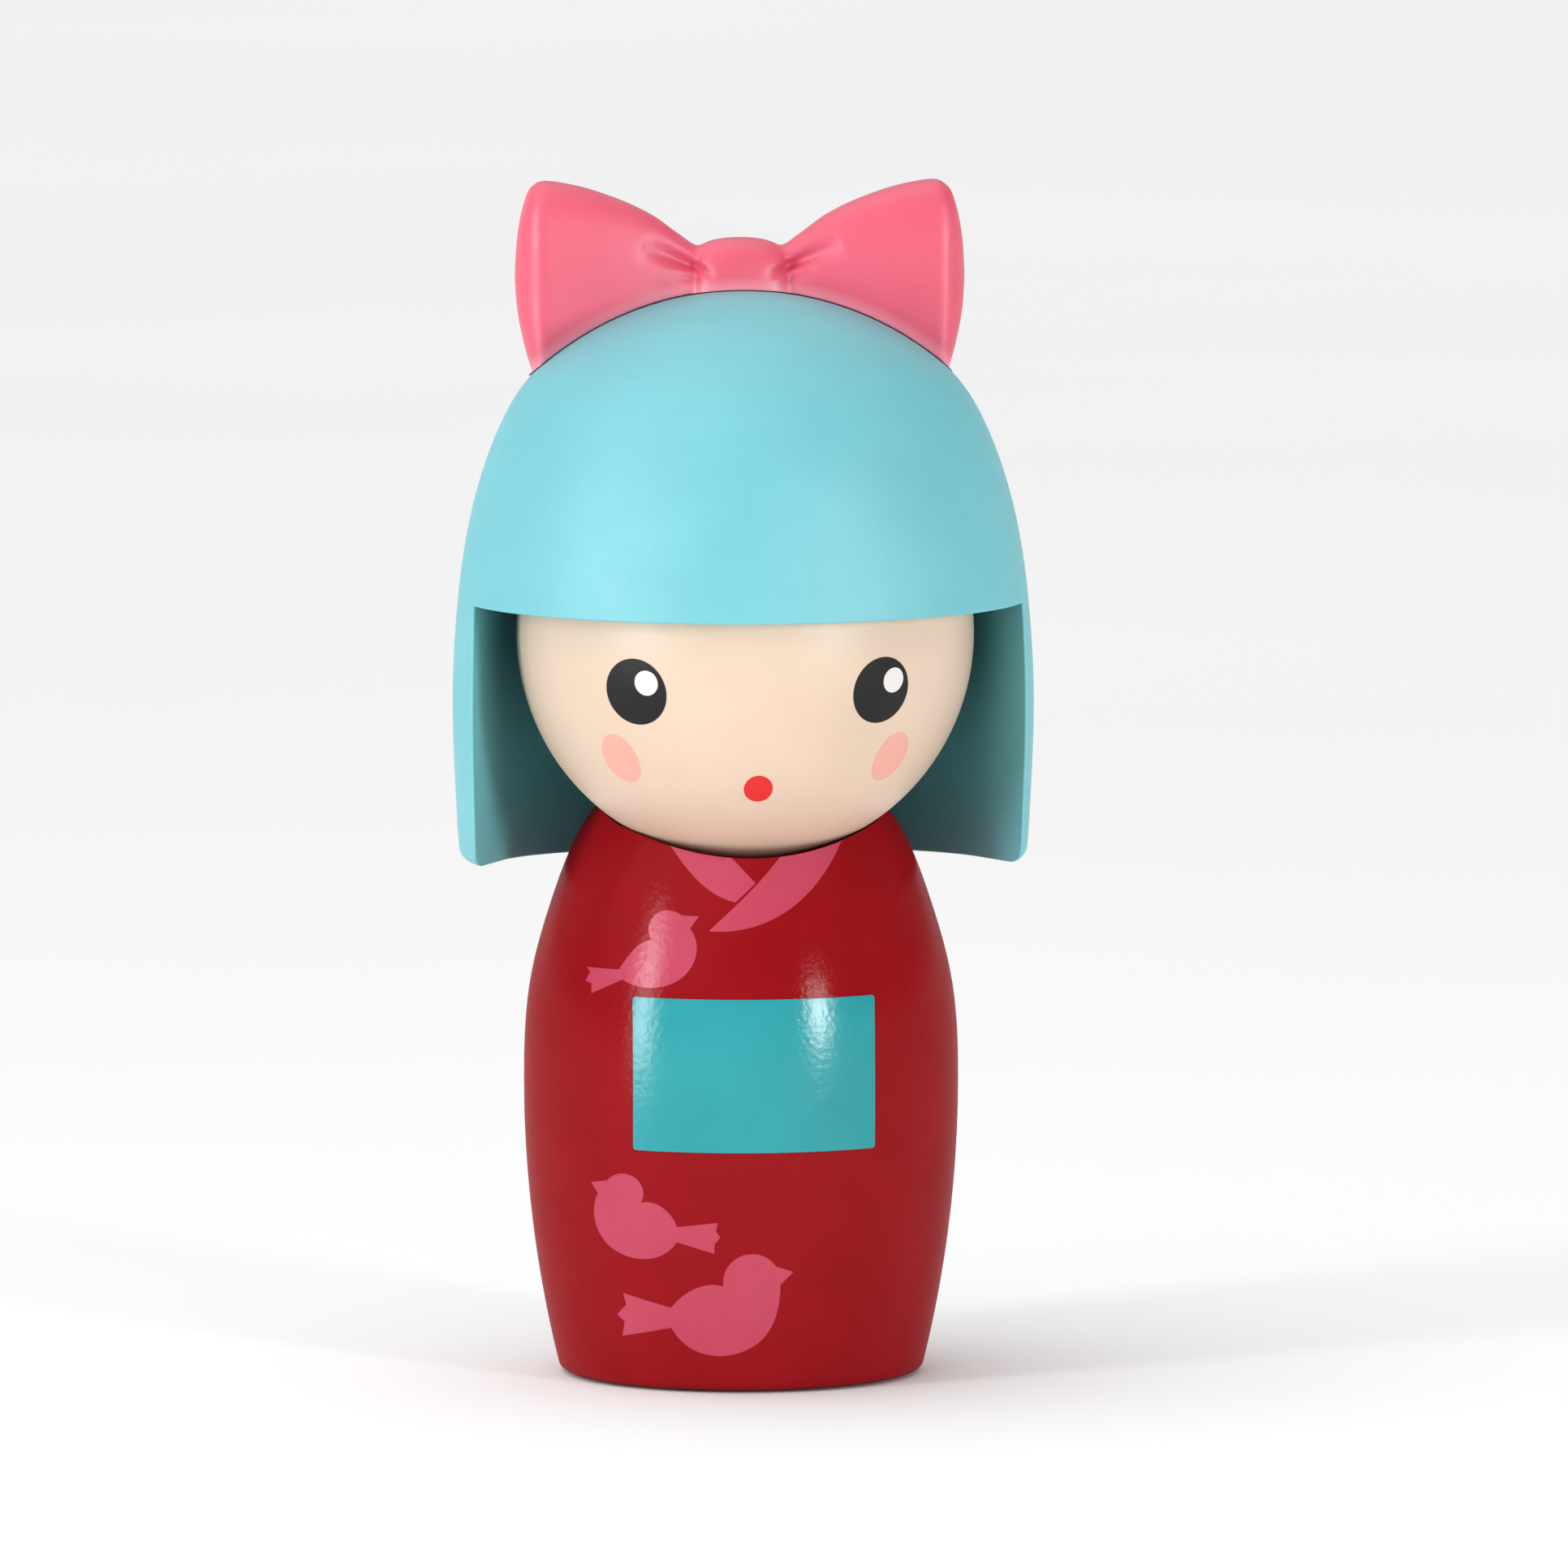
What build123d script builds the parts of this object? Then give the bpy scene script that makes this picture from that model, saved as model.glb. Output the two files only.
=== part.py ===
from build123d import *
import math
import os

os.makedirs("parts", exist_ok=True)

# A kokeshi doll in millimetres. +Z is up, the face looks along -Y, and the origin is the centre of the base
# on the surface it stands on.

# --- driving dimensions ---------------------------------------------------------------------------------------

HEIGHT = 150.0  # surface to the top of the bow's loops

FELT_R = 18.5
FELT_T = 1.0
FELT_RECESS = 0.7  # the felt stands proud of the base by the rest

BELLY_R = 27.3
BELLY_Z = 37.0
FLANK_R = 150.0  # radius of the side's arc below the belly
BASE_ROUND = 1.3
BASE_Z = FELT_T - FELT_RECESS
BODY_TOP_Z = 73.5

BALL_R = 28.6
BALL_Y = -7.5
BALL_Z = 94.0
SEAT_CLEARANCE = 0.2
NECKLINE_TILT = 6.0  # degrees that the neckline rises towards the front
NECKLINE_TAPER = 3.0  # degrees that it closes in towards the front
BALL_FLAT_Z = 65.9  # small flat under the ball, which the washer carries

PEG_R = 3.0
PEG_RUNNING_FIT = 0.05
PEG_BOTTOM_Z = 46.0
PEG_TOP_Z = 82.0
BUSH_R = 5.2
BUSH_BOTTOM_Z = 44.0
WASHER_GAP = 0.05
WASHER_T = 0.75

HAIR_Y = -4.0
HAIR_TOP_Z = 136.4
CROWN_R = 38.9
CROWN_EDGE_R = 25.2  # where the crown's arc runs into the sides
GLUE_GAP = 0.1
POCKET_TOP_Z = 98.0  # underside of the fringe
POCKET_R = 31.0  # about the neck, so that it clears the body however the head is turned
POCKET_EDGE_X = 34.9  # where the pocket's cheeks run out through the hair's sides
POCKET_EDGE_Y = -16.0
POCKET_ROUND = 0.2
HEM_Z = 64.8  # hem's height on the hair's own axis
HEM_SLOPE = 2.5  # degrees that the hem falls towards the back
HEM_ROUND = 2.2  # outer corner of the hem
NECKLINE_ROUND = 0.25

CROWN_DOWEL_R = 3.0
CROWN_DOWEL_BOTTOM_Z = 110.0
CROWN_DOWEL_TOP_Z = 130.0

BOW_Y = 2.0
BOW_GAP = 0.15  # line of shadow between the bow and the hair
BOW_PIN_R = 1.0
BOW_PIN_X = 3.0
BOW_PIN_DEPTH = 3.5  # into the bow and into the hair

FILM_GAP = 0.03  # a printed film stands this far off the surface under it
FILM_T = 0.12

ball_centre = Vector(0, BALL_Y, BALL_Z)
crown_centre = Vector(0, HAIR_Y, HAIR_TOP_Z - CROWN_R)
pin_middle_z = crown_centre.Z + math.sqrt(CROWN_R**2 - BOW_PIN_X**2 - (BOW_Y - HAIR_Y) ** 2)
bush_top_z = BALL_FLAT_Z - WASHER_GAP - WASHER_T

# the pocket's cheek is the tangent from the edge point to the pocket's circle
edge_distance = math.hypot(POCKET_EDGE_X, POCKET_EDGE_Y - BALL_Y)
tangent_turn = math.atan2(POCKET_EDGE_Y - BALL_Y, POCKET_EDGE_X) + math.acos(POCKET_R / edge_distance)
cheek_x = POCKET_R * math.cos(tangent_turn)
cheek_y = BALL_Y + POCKET_R * math.sin(tangent_turn)
cheek_angle = math.degrees(tangent_turn) - 90

reach = 200.0  # longer than anything in the doll, for through cuts


# --- profiles -------------------------------------------------------------------------------------------------

def flank_r(z):
    """Radius of the body's side at height z below the belly."""
    return BELLY_R - (FLANK_R - math.sqrt(FLANK_R**2 - (BELLY_Z - z) ** 2))


def body_side(offset=0.0):
    """The body's side from the base to the top, as two edges, moved outward by offset."""
    lower = ThreePointArc(
        (flank_r(BASE_Z) + offset, BASE_Z),
        (flank_r(BELLY_Z / 2) + offset, BELLY_Z / 2),
        (BELLY_R + offset, BELLY_Z),
    )
    upper = Spline(
        (BELLY_R + offset, BELLY_Z),
        (26.4 + offset, 50.0),
        (23.7 + offset, 59.9),
        (19.1 + offset, 70.2),
        (16.6 + offset, BODY_TOP_Z),
        tangents=[(0, 1), (-0.6, 0.8)],
    )
    return lower, upper


def hair_outline():
    """The hair's outer profile about its own axis, from the crown down past the hem."""
    crown_edge_z = crown_centre.Z + math.sqrt(CROWN_R**2 - CROWN_EDGE_R**2)
    mid = math.radians(70)
    crown = ThreePointArc(
        (0, HAIR_TOP_Z),
        (CROWN_R * math.cos(mid), crown_centre.Z + CROWN_R * math.sin(mid)),
        (CROWN_EDGE_R, crown_edge_z),
    )
    side = Spline(
        crown @ 1,
        (30.8, 118.8),
        (34.1, 108.5),
        (36.1, 93.2),
        (36.4, 84.0),
        (35.9, 71.0),
        (34.6, 58.0),
        tangents=[crown % 1, (-0.12, -1)],
    )
    return crown, side


# --- body group -----------------------------------------------------------------------------------------------

def neckline_cutter():
    """Space for the turning ball: a round-ended bar, tapering from the ball towards the front and slightly up."""
    tilt = math.radians(NECKLINE_TILT)
    axis_plane = Plane(
        origin=ball_centre,
        x_dir=(0, -math.cos(tilt), math.sin(tilt)),
        z_dir=(1, 0, 0),
    )
    r = BALL_R + SEAT_CLEARANCE
    length = 60
    with BuildPart() as cutter:
        with BuildSketch(axis_plane):
            with BuildLine():
                end = CenterArc((0, 0), r, 90, 90)
                side = Line(end @ 0, (length, r - length * math.tan(math.radians(NECKLINE_TAPER))))
                front = Line(side @ 1, (length, 0))
                Line(front @ 1, end @ 1)
            make_face()
        revolve(axis=Axis(ball_centre, axis_plane.x_dir))
    return cutter.part


with BuildPart() as body:
    with BuildSketch(Plane.XZ):
        with BuildLine():
            lower, upper = body_side()
            Polyline(upper @ 1, (0, BODY_TOP_Z), (0, BASE_Z), lower @ 0)
        make_face()
    revolve(axis=Axis.Z)
    fillet(body.edges().group_by(Axis.Z)[0], BASE_ROUND)
    with BuildSketch(Plane.XY.offset(BASE_Z)):
        Circle(FELT_R)
    extrude(amount=FELT_RECESS, mode=Mode.SUBTRACT)
    add(neckline_cutter(), mode=Mode.SUBTRACT)
    rim = body.edges().filter_by(lambda edge: edge.bounding_box().max.Z > BUSH_BOTTOM_Z)
    fillet(rim, NECKLINE_ROUND)
    with BuildSketch(Plane.XY.offset(BUSH_BOTTOM_Z)):
        with Locations((0, BALL_Y)):
            Circle(BUSH_R)
    extrude(amount=BALL_Z - BUSH_BOTTOM_Z, mode=Mode.SUBTRACT)
body.part.label = "body"
export_step(body.part, "parts/body.step")

with BuildPart() as base_felt:
    Cylinder(FELT_R, FELT_T, align=(Align.CENTER, Align.CENTER, Align.MIN))
base_felt.part.label = "base_felt"
export_step(base_felt.part, "parts/base_felt.step")

with BuildPart() as neck_bush:
    with BuildSketch(Plane.XY.offset(BUSH_BOTTOM_Z)):
        with Locations((0, BALL_Y)):
            Circle(BUSH_R)
            Circle(PEG_R + PEG_RUNNING_FIT, mode=Mode.SUBTRACT)
    extrude(amount=bush_top_z - BUSH_BOTTOM_Z)
neck_bush.part.label = "neck_bush"
export_step(neck_bush.part, "parts/neck_bush.step")

with BuildPart() as neck_washer:
    with BuildSketch(Plane.XY.offset(bush_top_z)):
        with Locations((0, BALL_Y)):
            Circle(BUSH_R)
            Circle(PEG_R + 4 * PEG_RUNNING_FIT, mode=Mode.SUBTRACT)
    extrude(amount=WASHER_T)
neck_washer.part.label = "neck_washer"
export_step(neck_washer.part, "parts/neck_washer.step")


# --- head group -----------------------------------------------------------------------------------------------

with BuildPart() as head_ball:
    with Locations(ball_centre):
        Sphere(BALL_R)
    split(bisect_by=Plane.XY.offset(BALL_FLAT_Z), keep=Keep.TOP)
    with BuildSketch(Plane.XY.offset(BALL_FLAT_Z)):
        with Locations((0, BALL_Y)):
            Circle(PEG_R)
    extrude(amount=PEG_TOP_Z - BALL_FLAT_Z, mode=Mode.SUBTRACT)
    with BuildSketch(Plane.XY.offset(CROWN_DOWEL_BOTTOM_Z)):
        with Locations((0, BALL_Y)):
            Circle(CROWN_DOWEL_R)
    extrude(amount=BALL_R, mode=Mode.SUBTRACT)
head_ball.part.label = "head_ball"
export_step(head_ball.part, "parts/head_ball.step")

with BuildPart() as neck_peg:
    with BuildSketch(Plane.XY.offset(PEG_BOTTOM_Z)):
        with Locations((0, BALL_Y)):
            Circle(PEG_R)
    extrude(amount=PEG_TOP_Z - PEG_BOTTOM_Z)
    chamfer(neck_peg.edges().group_by(Axis.Z)[0], 0.6)
neck_peg.part.label = "neck_peg"
export_step(neck_peg.part, "parts/neck_peg.step")


def bow_pin_bars():
    """The two short dowels between the bow and the hair, also used to cut their holes."""
    with BuildPart() as bars:
        with BuildSketch(Plane.XY.offset(pin_middle_z - BOW_PIN_DEPTH)):
            with Locations((-BOW_PIN_X, BOW_Y), (BOW_PIN_X, BOW_Y)):
                Circle(BOW_PIN_R)
        extrude(amount=2 * BOW_PIN_DEPTH)
    return bars.part


hair_axis = Axis((0, HAIR_Y, 0), (0, 0, 1))
hair_plane = Plane.XZ.offset(-HAIR_Y)
hem_rise = math.radians(HEM_SLOPE)
hem_plane = Plane(
    origin=(0, HAIR_Y, HEM_Z),
    x_dir=(1, 0, 0),
    z_dir=(0, math.sin(hem_rise), math.cos(hem_rise)),
)

with BuildPart() as hair_shell:
    with BuildSketch(hair_plane):
        with BuildLine():
            crown, side = hair_outline()
            Polyline(side @ 1, (0, (side @ 1).Y), crown @ 0)
        make_face()
    revolve(axis=hair_axis)
    split(bisect_by=hem_plane, keep=Keep.TOP)
    hem_face = hair_shell.faces().sort_by(Axis((0, HAIR_Y, 0), hem_plane.z_dir))[0]
    fillet(hem_face.edges(), HEM_ROUND)
    # the pocket: round about the neck at the back, with straight cheeks that open towards the front
    with BuildSketch(Plane.XY.offset(POCKET_TOP_Z)):
        with BuildLine():
            right_cheek = PolarLine((cheek_x, cheek_y), 2 * BALL_R, angle=cheek_angle)
            left_cheek = PolarLine((-cheek_x, cheek_y), 2 * BALL_R, angle=180 - cheek_angle)
            ThreePointArc(right_cheek @ 0, (0, BALL_Y + POCKET_R), left_cheek @ 0)
            Line(right_cheek @ 1, left_cheek @ 1)
        make_face()
    extrude(amount=-reach, mode=Mode.SUBTRACT)
    ceiling = hair_shell.faces().filter_by(Plane.XY).sort_by(Axis.Z)[0]
    cheeks = hair_shell.faces().filter_by(GeomType.PLANE).sort_by(lambda face: abs(face.center().X))[-2:]
    cheek_edges = [cheek.edges().sort_by(Axis.Y)[0] for cheek in cheeks]
    fillet([ceiling.edges().sort_by(Axis.Y)[0], *cheek_edges], POCKET_ROUND)
    with Locations(ball_centre):
        Sphere(BALL_R + GLUE_GAP, mode=Mode.SUBTRACT)
    with BuildSketch(Plane.XY.offset(CROWN_DOWEL_BOTTOM_Z)):
        with Locations((0, BALL_Y)):
            Circle(CROWN_DOWEL_R)
    extrude(amount=CROWN_DOWEL_TOP_Z - CROWN_DOWEL_BOTTOM_Z, mode=Mode.SUBTRACT)
    add(bow_pin_bars(), mode=Mode.SUBTRACT)
hair_shell.part.label = "hair_shell"
export_step(hair_shell.part, "parts/hair_shell.step")

with BuildPart() as crown_dowel:
    with BuildSketch(Plane.XY.offset(CROWN_DOWEL_BOTTOM_Z)):
        with Locations((0, BALL_Y)):
            Circle(CROWN_DOWEL_R)
    extrude(amount=CROWN_DOWEL_TOP_Z - CROWN_DOWEL_BOTTOM_Z)
crown_dowel.part.label = "crown_dowel"
export_step(crown_dowel.part, "parts/crown_dowel.step")

bow_plane = Plane.XZ.offset(-BOW_Y)

with BuildPart() as bow:
    # the two loops: front view, then thinned towards the knot in plan view
    with BuildSketch(bow_plane):
        with BuildLine():
            top = Spline((0, 141.0), (6.0, 141.9), (10.0, 145.1), (15.0, 148.1), (21.0, 149.8), (25.2, HEIGHT))
            corner = Spline(top @ 1, (26.7, 148.6), (27.9, 143.4), tangents=[(1, 0), (0.12, -1)])
            end = Spline(corner @ 1, (28.2, 137.5), (27.1, 130.4), (25.7, 126.6))
            Polyline(end @ 1, (24.0, 120.0), (0, 130.0), top @ 0)
        make_face()
        mirror(about=Plane.YZ)
    extrude(amount=BALL_R, both=True)
    with BuildSketch(Plane.XY.offset(HAIR_TOP_Z - CROWN_R)):
        with BuildLine():
            front = Spline((0, BOW_Y - 3.2), (6.0, BOW_Y - 3.4), (15.0, BOW_Y - 5.2), (25.0, BOW_Y - 5.8))
            ridge = Spline(front @ 1, (27.6, BOW_Y - 3.6), (28.4, BOW_Y), tangents=[(1, 0.1), (0, 1)])
            Polyline(ridge @ 1, (0, BOW_Y), front @ 0)
        make_face()
        mirror(about=Plane.YZ)
        mirror(about=Plane.XZ.offset(-BOW_Y))
    extrude(amount=reach, mode=Mode.INTERSECT)
    # the knot
    with BuildSketch(bow_plane):
        with BuildLine():
            over = ThreePointArc((-5.4, 141.2), (0, 142.7), (5.4, 141.2))
            Polyline(over @ 1, (5.4, 130.0), (-5.4, 130.0), over @ 0)
        make_face()
    extrude(amount=4.6, both=True)
    # the underside follows the crown of the hair
    with Locations(crown_centre):
        Sphere(CROWN_R + BOW_GAP, mode=Mode.SUBTRACT)
    add(bow_pin_bars(), mode=Mode.SUBTRACT)
bow.part.label = "bow"
export_step(bow.part, "parts/bow.step")

bow_pins = bow_pin_bars()
bow_pins.label = "bow_pins"
export_step(bow_pins, "parts/bow_pins.step")


# --- printed films --------------------------------------------------------------------------------------------
# Outlines on the body are in its front view (X, Z). Those on the ball are given by where the film's middle
# lies: degrees to the doll's left (+X) of the face's middle, and degrees above the ball's equator.

OBI_HALF_WIDTH = 15.1
OBI_BOTTOM_Z = 30.8
OBI_TOP_Z = 49.9
EYE_R = 4.25
EYE_AZIMUTH = 33.0
EYE_ELEVATION = -10.3
GLINT_R = 1.6
GLINT_SHIFT = (3.3, 2.5)  # degrees, the same way on both eyes
CHEEK_SIZE = (2.75, 3.6)
CHEEK_AZIMUTH = 42.4
CHEEK_ELEVATION = -29.2
MOUTH_SIZE = (1.8, 2.2)
MOUTH_ELEVATION = -37.4

BIRDS = {
    "bird_upper": {
        "head": [(-12.8, 57.0), (-10.8, 60.6), (-9.0, 60.05)],
        "beak": [(-6.9, 60.0), (-8.0, 58.5)],
        "belly": [(-7.25, 55.9), (-8.8, 52.8), (-12.4, 51.15), (-16.35, 51.9)],
        "tail": [(-20.0, 49.9), (-19.95, 51.05), (-20.65, 51.3), (-20.1, 52.45), (-20.5, 53.0), (-16.7, 53.1)],
        "back": [(-15.9, 54.3), (-14.5, 56.0)],
    },
    "bird_middle": {
        "head": [(-14.2, 24.15), (-16.6, 27.65), (-18.2, 26.65)],
        "beak": [(-20.1, 26.2), (-19.3, 24.9)],
        "belly": [(-19.7, 22.0), (-18.2, 18.6), (-14.8, 17.0), (-9.8, 19.35)],
        "tail": [(-5.2, 18.0), (-5.15, 19.25), (-4.45, 20.1), (-5.0, 20.85), (-4.8, 21.95), (-9.8, 21.3)],
        "back": [(-10.8, 23.0), (-12.4, 24.1)],
    },
    "bird_lower": {
        "head": [(-4.0, 13.85), (-0.6, 18.0), (2.5, 16.4)],
        "beak": [(4.75, 15.6), (3.1, 13.95)],
        "belly": [(3.0, 11.8), (1.1, 7.2), (-3.7, 4.9), (-10.35, 8.35)],
        "tail": [(-16.2, 6.85), (-15.95, 8.7), (-16.85, 9.55), (-15.8, 10.95), (-16.2, 12.4), (-10.4, 10.9)],
        "back": [(-8.6, 12.8), (-6.1, 13.95)],
    },
}


def body_skin():
    """The thin layer that a film on the body is cut from."""
    with BuildPart() as skin:
        with BuildSketch(Plane.XZ):
            with BuildLine():
                near_lower, near_upper = body_side(FILM_GAP)
                far_lower, far_upper = body_side(FILM_GAP + FILM_T)
                Line(near_lower @ 0, far_lower @ 0)
                Line(near_upper @ 1, far_upper @ 1)
            make_face()
        revolve(axis=Axis.Z)
    return skin.part


def body_film(label, outline, cutter=None):
    """A film on the body's front, inside an outline sketched in the front view."""
    with BuildPart() as film:
        add(body_skin())
        extrude(outline, amount=reach, dir=(0, -1, 0), mode=Mode.INTERSECT)
        if cutter is not None:
            add(cutter, mode=Mode.SUBTRACT)
    film.part.label = label
    export_step(film.part, f"parts/{label}.step")


def ball_film(label, azimuth, elevation, x_radius, y_radius, layer=0):
    """An oval film on the ball; a higher layer lies on the one below."""
    inner = BALL_R + FILM_GAP + layer * (FILM_GAP + FILM_T)
    turn = math.radians(azimuth)
    rise = math.radians(elevation)
    outward = (math.sin(turn) * math.cos(rise), -math.cos(turn) * math.cos(rise), math.sin(rise))
    face_plane = Plane(origin=ball_centre, x_dir=(math.cos(turn), math.sin(turn), 0), z_dir=outward)
    with BuildPart() as film:
        with Locations(ball_centre):
            Sphere(inner + FILM_T)
            Sphere(inner, mode=Mode.SUBTRACT)
        with BuildSketch(face_plane):
            Ellipse(x_radius, y_radius)
        extrude(amount=reach, mode=Mode.INTERSECT)
    film.part.label = label
    export_step(film.part, f"parts/{label}.step")


with BuildSketch(Plane.XZ) as obi_outline:
    with Locations((0, (OBI_BOTTOM_Z + OBI_TOP_Z) / 2)):
        RectangleRounded(2 * OBI_HALF_WIDTH, OBI_TOP_Z - OBI_BOTTOM_Z, 0.4)
body_film("obi_panel", obi_outline.sketch)

# each collar band runs up past the neckline, which trims it
with BuildSketch(Plane.XZ) as left_band:
    with BuildLine():
        outer = Spline((-12.5, 72.0), (-9.8, 67.9), (-6.75, 64.15), (-2.35, 61.75))
        Polyline(outer @ 1, (0.25, 64.05), (-0.95, 65.3), (-4.0, 68.5), (-4.0, 72.0), outer @ 0)
    make_face()
body_film("collar_left", left_band.sketch, neckline_cutter())

with BuildSketch(Plane.XZ) as right_band:
    with BuildLine():
        inner = Spline((-5.7, 58.25), (-1.85, 61.75), (2.4, 66.0), (6.0, 71.0))
        outer = Spline((-5.7, 58.25), (-1.9, 58.4), (4.4, 60.8), (9.4, 65.5), (12.5, 71.0))
        Line(inner @ 1, outer @ 1)
    make_face()
body_film("collar_right", right_band.sketch, neckline_cutter())

for name, bird in BIRDS.items():
    with BuildSketch(Plane.XZ) as silhouette:
        with BuildLine():
            head = ThreePointArc(*bird["head"])
            beak = Polyline(head @ 1, *bird["beak"])
            belly = Spline(beak @ 1, *bird["belly"])
            tail = Polyline(belly @ 1, *bird["tail"])
            Spline(tail @ 1, *bird["back"], head @ 0)
        make_face()
    body_film(name, silhouette.sketch)

for side, sign in (("left", -1), ("right", 1)):
    eye_azimuth = sign * EYE_AZIMUTH
    ball_film(f"eye_{side}", eye_azimuth, EYE_ELEVATION, EYE_R, EYE_R)
    ball_film(
        f"eye_glint_{side}",
        eye_azimuth + GLINT_SHIFT[0],
        EYE_ELEVATION + GLINT_SHIFT[1],
        GLINT_R,
        GLINT_R,
        layer=1,
    )
    ball_film(f"cheek_{side}", sign * CHEEK_AZIMUTH, CHEEK_ELEVATION, *CHEEK_SIZE)

ball_film("mouth", 0, MOUTH_ELEVATION, *MOUTH_SIZE)
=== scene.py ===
import math

import bmesh
import bpy
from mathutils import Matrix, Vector
from mathutils.bvhtree import BVHTree


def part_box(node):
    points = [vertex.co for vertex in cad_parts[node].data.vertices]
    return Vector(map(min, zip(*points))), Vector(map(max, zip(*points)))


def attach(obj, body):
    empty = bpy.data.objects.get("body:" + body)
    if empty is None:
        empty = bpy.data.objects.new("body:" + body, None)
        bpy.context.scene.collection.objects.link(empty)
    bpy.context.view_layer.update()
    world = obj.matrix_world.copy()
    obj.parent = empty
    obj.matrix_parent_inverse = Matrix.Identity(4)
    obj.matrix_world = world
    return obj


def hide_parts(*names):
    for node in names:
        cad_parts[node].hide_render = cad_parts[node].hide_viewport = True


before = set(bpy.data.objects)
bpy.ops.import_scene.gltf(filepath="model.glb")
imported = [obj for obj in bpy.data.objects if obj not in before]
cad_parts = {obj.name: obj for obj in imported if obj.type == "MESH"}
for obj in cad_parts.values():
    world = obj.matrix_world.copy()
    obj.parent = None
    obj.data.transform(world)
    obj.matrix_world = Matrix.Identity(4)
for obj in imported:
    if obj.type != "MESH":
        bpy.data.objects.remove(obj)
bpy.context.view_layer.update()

MM = 0.001

# --- where things are, from the frame ---------------------------------------------------------------------

hair_low, hair_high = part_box("hair_shell")
bow_low, bow_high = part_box("bow")

CROWN_R = 38.9  # mm, the round of the hair that the bow sits on
CROWN_C = Vector((0, (hair_low[1] + hair_high[1]) / 2, hair_high[2] - CROWN_R * MM))


# --- materials --------------------------------------------------------------------------------------------

def srgb(r, g, b):
    """Linear colour from the 0 to 255 values that a picture shows."""
    def one(v):
        v /= 255
        return v / 12.92 if v <= 0.04045 else ((v + 0.055) / 1.055) ** 2.4
    return (one(r), one(g), one(b), 1.0)


class Shader:
    """A small helper that builds one procedural material."""

    def __init__(self, name):
        self.material = bpy.data.materials.new(name)
        self.material.use_nodes = True
        self.nodes = self.material.node_tree.nodes
        self.links = self.material.node_tree.links
        self.bsdf = self.nodes["Principled BSDF"]
        self.coord = self.nodes.new("ShaderNodeTexCoord")

    def set(self, **values):
        for key, value in values.items():
            self.bsdf.inputs[key.replace("_", " ")].default_value = value

    def noise(self, scale, detail=2.0, roughness=0.5, distortion=0.0, stretch=(1, 1, 1)):
        mapping = self.nodes.new("ShaderNodeMapping")
        mapping.inputs["Scale"].default_value = stretch
        self.links.new(self.coord.outputs["Object"], mapping.inputs["Vector"])
        node = self.nodes.new("ShaderNodeTexNoise")
        node.inputs["Scale"].default_value = scale
        node.inputs["Detail"].default_value = detail
        node.inputs["Roughness"].default_value = roughness
        node.inputs["Distortion"].default_value = distortion
        self.links.new(mapping.outputs["Vector"], node.inputs["Vector"])
        return node.outputs["Fac"]

    def ramp(self, source, stops):
        node = self.nodes.new("ShaderNodeValToRGB")
        elements = node.color_ramp.elements
        while len(elements) < len(stops):
            elements.new(0.5)
        for element, (position, colour) in zip(elements, stops):
            element.position = position
            element.color = colour
        self.links.new(source, node.inputs["Fac"])
        return node.outputs["Color"]

    def bump(self, source, distance, strength=1.0, after=None):
        node = self.nodes.new("ShaderNodeBump")
        node.inputs["Distance"].default_value = distance
        node.inputs["Strength"].default_value = strength
        self.links.new(source, node.inputs["Height"])
        if after is not None:
            self.links.new(after, node.inputs["Normal"])
        return node.outputs["Normal"]

    def link(self, source, socket):
        self.links.new(source, self.bsdf.inputs[socket])


def grey(value):
    return (value, value, value, 1.0)


GRAIN = 0.01 * MM  # relief of the paint's fine tooth
PEEL = 0.03 * MM  # relief of the orange peel in lacquer


def painted(name, dark, light, rough, specular=0.5, coat=0.0, coat_rough=0.1, peel=0.0):
    """Sprayed paint: a faint mottle in colour and roughness, orange peel and a fine tooth."""
    s = Shader(name)
    mottle = s.noise(90, detail=3)
    s.link(s.ramp(mottle, [(0.3, dark), (0.7, light)]), "Base Color")
    sheen = s.noise(400, detail=3)
    s.link(s.ramp(sheen, [(0.25, grey(rough - 0.04)), (0.75, grey(rough + 0.04))]), "Roughness")
    normal = s.bump(s.noise(9000, detail=1), GRAIN)
    if peel:
        normal = s.bump(s.noise(1500, detail=2, roughness=0.4), peel, after=normal)
    s.link(normal, "Normal")
    s.set(Specular_IOR_Level=specular)
    if coat:
        s.set(Coat_Weight=coat, Coat_Roughness=coat_rough, Coat_IOR=1.5)
        s.link(normal, "Coat Normal")
    return s.material


def lacquered(name, dark, light, coat, coat_rough):
    """Paint under a clear gloss coat."""
    return painted(name, dark, light, 0.4, specular=0.0, coat=coat, coat_rough=coat_rough, peel=PEEL)


red_lacquer = lacquered("red_lacquer", srgb(136, 13, 20), srgb(143, 16, 23), 0.18, 0.1)
teal_print = lacquered("teal_print", srgb(36, 143, 149), srgb(42, 149, 155), 0.6, 0.12)
pink_print = lacquered("pink_print", srgb(179, 62, 84), srgb(184, 68, 90), 0.4, 0.12)
hair_soft = painted("hair_soft", srgb(92, 177, 186), srgb(97, 182, 191), 0.58, 1.0, 0.45, 0.65)
bow_soft = painted("bow_soft", srgb(215, 69, 97), srgb(220, 75, 103), 0.5, 1.0)
skin_paint = painted("skin_paint", srgb(213, 187, 164), srgb(217, 191, 169), 0.42)
eye_print = painted("eye_print", srgb(20, 18, 18), srgb(26, 24, 24), 0.4, 0.25)
glint_print = painted("glint_print", srgb(220, 214, 212), srgb(226, 220, 218), 0.45, 0.3)
cheek_print = painted("cheek_print", srgb(224, 159, 144), srgb(228, 164, 149), 0.45)
mouth_print = painted("mouth_print", srgb(211, 34, 34), srgb(217, 40, 40), 0.4, 0.3)
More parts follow.
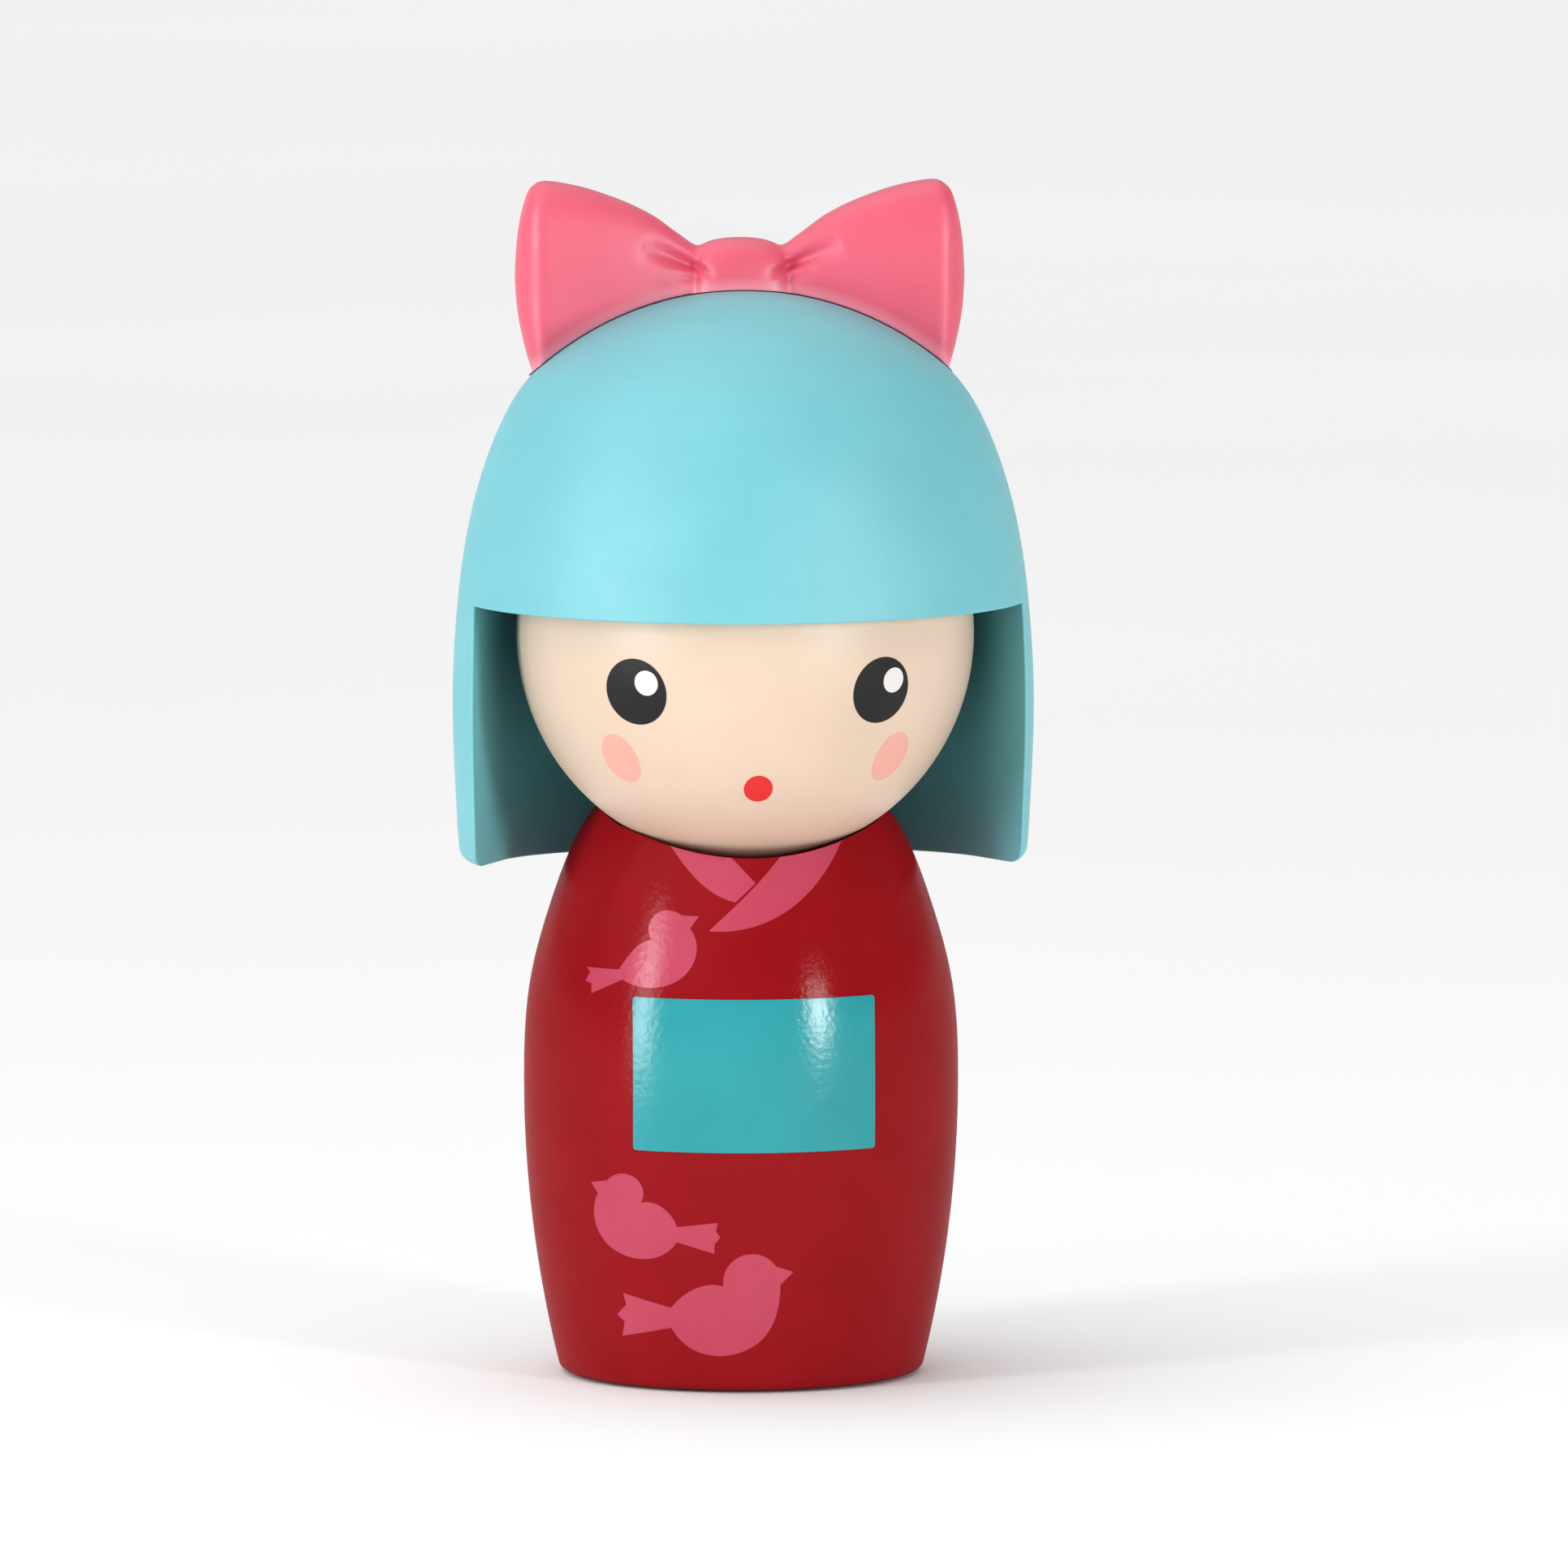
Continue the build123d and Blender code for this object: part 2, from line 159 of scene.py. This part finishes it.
liner_nylon = painted("liner_nylon", srgb(222, 219, 210), srgb(230, 227, 218), 0.4)


def turned_wood(name):
    """Plain beech with its grain along Z."""
    s = Shader(name)
    grain = s.noise(1400, detail=6, roughness=0.65, distortion=0.4, stretch=(1, 1, 0.06))
    tones = [(0.3, srgb(176, 136, 92)), (0.55, srgb(207, 171, 126)), (0.8, srgb(222, 190, 147))]
    s.link(s.ramp(grain, tones), "Base Color")
    s.link(s.bump(grain, 0.03 * MM), "Normal")
    s.set(Roughness=0.62)
    return s.material


def felt_cloth(name):
    """Pressed felt: matted fibres in colour and relief."""
    s = Shader(name)
    fibres = s.noise(2600, detail=8, roughness=0.75, distortion=2.5)
    s.link(s.ramp(fibres, [(0.3, srgb(52, 45, 47)), (0.7, srgb(98, 88, 90))]), "Base Color")
    s.link(s.bump(fibres, 0.2 * MM), "Normal")
    s.set(Roughness=0.95, Specular_IOR_Level=0.2, Sheen_Weight=0.4, Sheen_Roughness=0.6)
    return s.material


dowel_wood = turned_wood("dowel_wood")
felt = felt_cloth("felt")


def smooth_range(tree, source, start, full, top):
    """Rises smoothly from 0 to top while the source goes from start to full."""
    node = tree.nodes.new("ShaderNodeMapRange")
    node.interpolation_type = "SMOOTHSTEP"
    node.inputs["From Min"].default_value = start
    node.inputs["From Max"].default_value = full
    node.inputs["To Max"].default_value = top
    tree.links.new(source, node.inputs["Value"])
    return node.outputs["Result"]


def painted_light_rim(material, centre, start, end, colour, most):
    """Lets a paint go paler where it nears a sphere: painted light that lifts the shade at a foot that sits
    on the sphere.
    """
    tree = material.node_tree
    coord = tree.nodes.new("ShaderNodeTexCoord")
    distance = tree.nodes.new("ShaderNodeVectorMath")
    distance.operation = "DISTANCE"
    distance.inputs[1].default_value = centre
    tree.links.new(coord.outputs["Object"], distance.inputs[0])
    near = smooth_range(tree, distance.outputs["Value"], end, start, most)
    paint = tree.nodes["Principled BSDF"].inputs["Base Color"]
    mix = tree.nodes.new("ShaderNodeMix")
    mix.data_type = "RGBA"
    mix.inputs["B"].default_value = colour
    tree.links.new(near, mix.inputs["Factor"])
    tree.links.new(paint.links[0].from_socket, mix.inputs["A"])
    tree.links.new(mix.outputs["Result"], paint)


FINISHES = {
    "body": red_lacquer,
    "base_felt": felt,
    "neck_bush": liner_nylon,
    "neck_washer": felt,
    "obi_panel": teal_print,
    "collar_left": pink_print,
    "collar_right": pink_print,
    "bird_upper": pink_print,
    "bird_middle": pink_print,
    "bird_lower": pink_print,
    "head_ball": skin_paint,
    "neck_peg": dowel_wood,
    "crown_dowel": dowel_wood,
    "bow_pins": dowel_wood,
    "hair_shell": hair_soft,
    "bow": bow_soft,
    "eye_left": eye_print,
    "eye_right": eye_print,
    "eye_glint_left": glint_print,
    "eye_glint_right": glint_print,
    "cheek_left": cheek_print,
    "cheek_right": cheek_print,
    "mouth": mouth_print,
}
# painted light: the bow goes paler within 2 mm of the crown, lifting the shade where it sits on the hair
painted_light_rim(bow_soft, CROWN_C, CROWN_R * MM, (CROWN_R + 2.0) * MM, srgb(250, 165, 182), 0.5)
for node, material in FINISHES.items():
    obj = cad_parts[node]
    for slot in obj.material_slots:
        slot.material = material


# --- mesh helpers -----------------------------------------------------------------------------------------

def new_object(name, bm):
    """A mesh object from a bmesh whose points are in millimetres."""
    for v in bm.verts:
        v.co *= MM
    mesh = bpy.data.meshes.new(name)
    bm.to_mesh(mesh)
    bm.free()
    obj = bpy.data.objects.new(name, mesh)
    bpy.context.scene.collection.objects.link(obj)
    return obj


def join(obj, other):
    """Adds another object's mesh to obj and removes the other."""
    bm = bmesh.new()
    bm.from_mesh(obj.data)
    bm.from_mesh(other.data)
    bm.to_mesh(obj.data)
    bm.free()
    bpy.data.objects.remove(other)


def modifier(obj, kind, **settings):
    added = obj.modifiers.new(kind.lower(), kind)
    for key, value in settings.items():
        setattr(added, key, value)
    return added


def apply_modifiers(obj):
    """Writes the modifiers' result into the mesh."""
    graph = bpy.context.evaluated_depsgraph_get()
    mesh = bpy.data.meshes.new_from_object(obj.evaluated_get(graph))
    obj.modifiers.clear()
    obj.data = mesh


def finish_piece(obj, body, slot, material, *replaced):
    """Smooth shading, one material, and the piece's place among the bodies and nodes."""
    for polygon in obj.data.polygons:
        polygon.use_smooth = True
    obj.data.materials.clear()
    obj.data.materials.append(material)
    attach(obj, body)
    if replaced:
        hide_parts(*replaced)
    return obj


# --- bow --------------------------------------------------------------------------------------------------
# In millimetres: x from the bow's middle, y from front to back, z above the floor.

def smooth_through(points):
    """A curve x -> y through a few points, with no overshoot between them (monotone cubic)."""
    xs = [p[0] for p in points]
    ys = [p[1] for p in points]
    slopes = [(ys[i + 1] - ys[i]) / (xs[i + 1] - xs[i]) for i in range(len(xs) - 1)]
    tangents = [slopes[0]]
    for before, after in zip(slopes, slopes[1:]):
        tangents.append(0.0 if before * after <= 0 else 2 * before * after / (before + after))
    tangents.append(slopes[-1])

    def curve(x):
        x = min(max(x, xs[0]), xs[-1])
        i = max(k for k in range(len(xs) - 1) if xs[k] <= x)
        h = xs[i + 1] - xs[i]
        t = (x - xs[i]) / h
        return (
            ys[i] * (1 + 2 * t) * (1 - t) ** 2
            + tangents[i] * h * t * (1 - t) ** 2
            + ys[i + 1] * t * t * (3 - 2 * t)
            + tangents[i + 1] * h * t * t * (t - 1)
        )

    return curve


BOW_SHADOW_GAP = 0.12
VOXEL = 0.3
crown_c = CROWN_C / MM
bow_y = (bow_low[1] + bow_high[1]) / 2 / MM
bow_end = bow_high[0] / MM
bow_top = bow_high[2] / MM

LOOP_CAP = 3.4  # how far the rounded end stands beyond the ridge
loop_top = smooth_through([
    (0, bow_top - 8.6), (5.0, bow_top - 8.4), (7.5, bow_top - 6.9), (11.0, bow_top - 4.4),
    (16.0, bow_top - 2.1), (21.0, bow_top - 0.6), (24.6, bow_top - 0.1), (26.2, bow_top - 1.0),
    (27.2, bow_top - 3.6), (27.9, bow_top - 7.5), (bow_end, bow_top - 12.0),
])
loop_bottom = smooth_through([
    (0, 130.0), (6.0, 130.0), (14.0, 127.0), (20.0, 124.5), (25.0, 124.0), (26.0, 126.0),
    (27.2, 130.2), (27.9, 133.9), (bow_end, bow_top - 12.2),
])
loop_depth = smooth_through([
    (0, 2.9), (5.5, 3.0), (9.0, 3.6), (15.0, 4.7), (21.0, 5.4), (bow_end - LOOP_CAP, 5.8),
])

KNOT_HALF_WIDTH = 5.7
KNOT_HALF_DEPTH = 4.9
KNOT_BASE_Z = 129.0  # inside the hair, trimmed by the crown
KNOT_WAIST_Z = 137.0
KNOT_RISE = 5.75  # from there to the knot's top


def ring(centre, half_y, half_z, roundness, count):
    """A rounded rectangle (superellipse) in a plane of constant x."""
    points = []
    for k in range(count):
        a = 2 * math.pi * k / count
        c, s = math.cos(a), math.sin(a)
        y = math.copysign(abs(c) ** (2 / roundness), c) * half_y
        z = math.copysign(abs(s) ** (2 / roundness), s) * half_z
        points.append(Vector((centre[0], centre[1] + y, centre[2] + z)))
    return points


def loft(rings):
    """A closed mesh over rings of equal counts, with a fan at each end."""
    bm = bmesh.new()
    rows = [[bm.verts.new(p) for p in points] for points in rings]
    for a, b in zip(rows, rows[1:]):
        for k in range(len(a)):
            j = (k + 1) % len(a)
            bm.faces.new((a[k], a[j], b[j], b[k]))
    bm.faces.new(reversed(rows[0]))
    bm.faces.new(rows[-1])
    bmesh.ops.recalc_face_normals(bm, faces=bm.faces)
    return bm


def loop_rings():
    """Slices across the whole bow, from the left end to the right end, thinning at the rounded ends."""
    ridge = bow_end - LOOP_CAP
    xs = [ridge * k / 40 for k in range(41)]
    xs += [ridge + LOOP_CAP * math.sin(math.pi / 2 * k / 16) for k in range(1, 16)]
    rings = []
    for x in [-v for v in reversed(xs[1:])] + xs:
        r = abs(x)
        depth = loop_depth(min(r, ridge))
        if r > ridge:
            depth *= max(0.05, math.sqrt(max(0.0, 1 - ((r - ridge) / LOOP_CAP) ** 2)))
        top, bottom = loop_top(r), loop_bottom(r)
        rings.append(ring((x, bow_y, (top + bottom) / 2), depth, (top - bottom) / 2, 3.6, 72))
    return rings


def knot_rings():
    """The knot: a rounded barrel, fuller in the middle than at its two sides."""
    rings = []
    for k in range(25):
        t = -1 + 2 * k / 24
        swell = max(0.02, 1 - abs(t) ** 3.0) ** (1 / 3.0)
        top = KNOT_WAIST_Z + KNOT_RISE * (0.62 + 0.38 * swell) * (1 - 0.1 * t * t)
        centre = (KNOT_HALF_WIDTH * t, bow_y, (top + KNOT_BASE_Z) / 2)
        half_y = KNOT_HALF_DEPTH * (0.55 + 0.45 * swell)
        rings.append(ring(centre, half_y, (top - KNOT_BASE_Z) / 2, 3.0, 48))
    return rings


# Each pinch beside the knot: a crease from its deep end at the knot to where it fades, width and depth
PINCHES = [
    ((6.0, 139.3), (12.6, 142.2), 1.05, 1.5),
    ((5.8, 137.6), (9.5, 138.6), 0.6, 0.4),
]


def pinch_depth(x, z):
    """How far the front and back are pressed in beside the knot."""
    total = 0.0
    for start, end, width, depth in PINCHES:
        a, b = Vector(start), Vector(end)
        along = (Vector((abs(x), z)) - a).dot((b - a).normalized())
        t = along / (b - a).length
        across = ((Vector((abs(x), z)) - a) - along * (b - a).normalized()).length
        spread = width * (0.55 + 0.9 * min(max(t, 0.0), 1.0))
        fade = max(0.0, 1 - max(t, 0.0)) ** 0.8 * math.exp(-(min(t, 0.0) * 4) ** 2)
        total += depth * fade * math.exp(-((across / spread) ** 2))
    return total


def make_bow():
    """One moulded piece: loops and knot blended together, pinched beside the knot, seated on the crown."""
    obj = new_object("bow_moulded", loft(loop_rings()))
    knot = new_object("knot_blank", loft(knot_rings()))
    join(obj, knot)
    modifier(obj, "REMESH", mode="VOXEL", voxel_size=VOXEL * MM, use_smooth_shade=True)
    modifier(obj, "SMOOTH", factor=0.5, iterations=6)
    apply_modifiers(obj)
    for v in obj.data.vertices:
        x, y, z = v.co / MM
        side = y - bow_y
        press = pinch_depth(x, z) * min(1.0, abs(side) / 2.0)
        y -= math.copysign(press, side)
        p = Vector((x, y, z)) - crown_c
        rest_r = CROWN_R + BOW_SHADOW_GAP
        if p.length < rest_r:
            p = p.normalized() * rest_r
        v.co = (p + crown_c) * MM
    modifier(obj, "SMOOTH", factor=0.4, iterations=1)
    apply_modifiers(obj)
    return finish_piece(obj, "head", "bow", bow_soft, "bow")


make_bow()


# --- prints -----------------------------------------------------------------------------------------------

PRINT_DEPTH = -0.02  # mm, a print's inner face, just in the paint
PRINT_HEIGHT = 0.04
GLINT_HEIGHT = 0.08  # the glints lie on the eyes


def lay_on(node, under, height, body, slot):
    """A print laid on the surface below it: the film's outline, with its faces in and above the paint."""
    film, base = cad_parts[node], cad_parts[under]
    to_base = base.matrix_world.inverted() @ film.matrix_world
    points = [v.co for v in base.data.vertices]
    surface = BVHTree.FromPolygons(points, [p.vertices for p in base.data.polygons])
    bm = bmesh.new()
    bm.from_mesh(film.data)
    nearest = [surface.find_nearest(to_base @ v.co) for v in bm.verts]
    depths = [hit[3] for hit in nearest]
    middle = (min(depths) + max(depths)) / 2
    for v, (point, normal, index, depth) in zip(bm.verts, nearest):
        lift = height if depth > middle else PRINT_DEPTH
        v.co = base.matrix_world @ (point + normal * lift * MM) / MM
    obj = new_object(node + "_laid", bm)
    return finish_piece(obj, body, slot, FINISHES[node], node)


for node in ("collar_left", "collar_right", "bird_upper", "bird_middle", "bird_lower"):
    lay_on(node, "body", PRINT_HEIGHT, "body", "pink_print")
for side in ("left", "right"):
    lay_on("eye_" + side, "head_ball", PRINT_HEIGHT, "head", "eye_print")
    lay_on("eye_glint_" + side, "head_ball", GLINT_HEIGHT, "head", "glint_print")
    lay_on("cheek_" + side, "head_ball", PRINT_HEIGHT, "head", "cheek_print")
lay_on("mouth", "head_ball", PRINT_HEIGHT, "head", "mouth_print")


# --- camera, floor and light ------------------------------------------------------------------------------

FRAME_WIDTH = 196.8 * MM
CAMERA_ELEVATION = math.radians(6.0)
CAMERA_AZIMUTH = math.radians(-4.2)
CAMERA_DISTANCE = 2.4
CAMERA_HEIGHT = 74.1 * MM  # height on the doll's axis of the picture's middle
CAMERA_SIDESTEP = 5.4 * MM  # the picture's middle is this far right of the doll's axis
SENSOR_WIDTH = 36.0

back = Vector((
    math.sin(CAMERA_AZIMUTH) * math.cos(CAMERA_ELEVATION),
    -math.cos(CAMERA_AZIMUTH) * math.cos(CAMERA_ELEVATION),
    math.sin(CAMERA_ELEVATION),
))
right = Vector((math.cos(CAMERA_AZIMUTH), math.sin(CAMERA_AZIMUTH), 0))
target = Vector((0, 0, CAMERA_HEIGHT)) + CAMERA_SIDESTEP * right

camera_data = bpy.data.cameras.new("camera")
camera_data.sensor_width = SENSOR_WIDTH
camera_data.lens = SENSOR_WIDTH * CAMERA_DISTANCE / FRAME_WIDTH
camera_data.clip_start = 0.05
camera_data.clip_end = 100.0
camera = bpy.data.objects.new("camera", camera_data)
camera.location = target + CAMERA_DISTANCE * back
camera.rotation_euler = back.to_track_quat("Z", "Y").to_euler()
bpy.context.scene.collection.objects.link(camera)
bpy.context.scene.camera = camera


def floor():
    """A plain pale floor, wide enough to fill the view."""
    bpy.ops.mesh.primitive_circle_add(vertices=96, radius=30, fill_type="NGON", location=(0, 0, 0))
    obj = bpy.context.object
    obj.name = "floor"
    s = Shader("floor_pale")
    s.link(s.ramp(s.noise(3, detail=2), [(0.3, grey(0.93)), (0.7, grey(0.95))]), "Base Color")
    s.set(Roughness=0.9, Specular_IOR_Level=0.1)
    obj.data.materials.append(s.material)


LIGHT_AIM = Vector((0, 0, 80 * MM))


def area_light(name, location, size, power, colour=(1, 1, 1)):
    """A rectangular lamp turned to the doll's middle."""
    data = bpy.data.lights.new(name, "AREA")
    data.shape = "RECTANGLE"
    data.size, data.size_y = size
    data.energy = power
    data.color = colour
    obj = bpy.data.objects.new(name, data)
    obj.location = location
    obj.rotation_euler = (location - LIGHT_AIM).to_track_quat("Z", "Y").to_euler()
    bpy.context.scene.collection.objects.link(obj)


def toward(azimuth, elevation, distance):
    """A point seen from the doll: azimuth 0 is straight in front, positive to the viewer's right."""
    a, e = math.radians(azimuth), math.radians(elevation)
    return Vector((math.sin(a) * math.cos(e), -math.cos(a) * math.cos(e), math.sin(e))) * distance


SOFTBOXES = [
    # azimuth, elevation, where it starts and where it is full (degrees from its middle), radiance
    (-62, 50, 52, 22, 0.74),
    (40, 68, 45, 15, 0.3),
    (180, 12, 80, 35, 0.2),
    (-160, 66, 50, 15, 0.8),
]
AMBIENT = 0.315
HORIZON_GLOW = 0.55  # extra radiance of a low band all round, so that the floor's far edge doesn't show
HORIZON_BAND = (0.10, 0.05)  # sines of the elevations where the band starts and where it is full


def studio_world():
    """Broad soft lights at infinity, so that the floor is evenly pale, and dark towards the viewer."""
    world = bpy.data.worlds.new("studio")
    world.use_nodes = True
    tree = world.node_tree
    background = tree.nodes["Background"]
    direction = tree.nodes.new("ShaderNodeTexCoord").outputs["Generated"]
    glows = []
    for azimuth, elevation, outer, inner, radiance in SOFTBOXES:
        dot = tree.nodes.new("ShaderNodeVectorMath")
        dot.operation = "DOT_PRODUCT"
        dot.inputs[1].default_value = toward(azimuth, elevation, 1.0)
        tree.links.new(direction, dot.inputs[0])
        start, full = math.cos(math.radians(outer)), math.cos(math.radians(inner))
        glows.append(smooth_range(tree, dot.outputs["Value"], start, full, radiance))

    height = tree.nodes.new("ShaderNodeSeparateXYZ")
    tree.links.new(direction, height.inputs["Vector"])
    level = tree.nodes.new("ShaderNodeMath")
    level.operation = "ABSOLUTE"
    tree.links.new(height.outputs["Z"], level.inputs[0])
    start, full = HORIZON_BAND
    glows.append(smooth_range(tree, level.outputs["Value"], start, full, HORIZON_GLOW))

    total = None
    for glow in glows:
        plus = tree.nodes.new("ShaderNodeMath")
        tree.links.new(glow, plus.inputs[0])
        if total is None:
            plus.inputs[1].default_value = AMBIENT
        else:
            tree.links.new(total, plus.inputs[1])
        total = plus.outputs["Value"]
    tree.links.new(total, background.inputs["Strength"])
    background.inputs["Color"].default_value = (1.0, 1.0, 1.0, 1.0)
    bpy.context.scene.world = world


floor()
studio_world()
bpy.context.scene.view_settings.view_transform = "Standard"
area_light("strip_left", toward(-58, 12, 0.8), (0.14, 0.5), 3.6, colour=(0.93, 0.97, 1.0))
area_light("window_right", toward(38, 12, 0.9), (0.12, 0.24), 3.2)
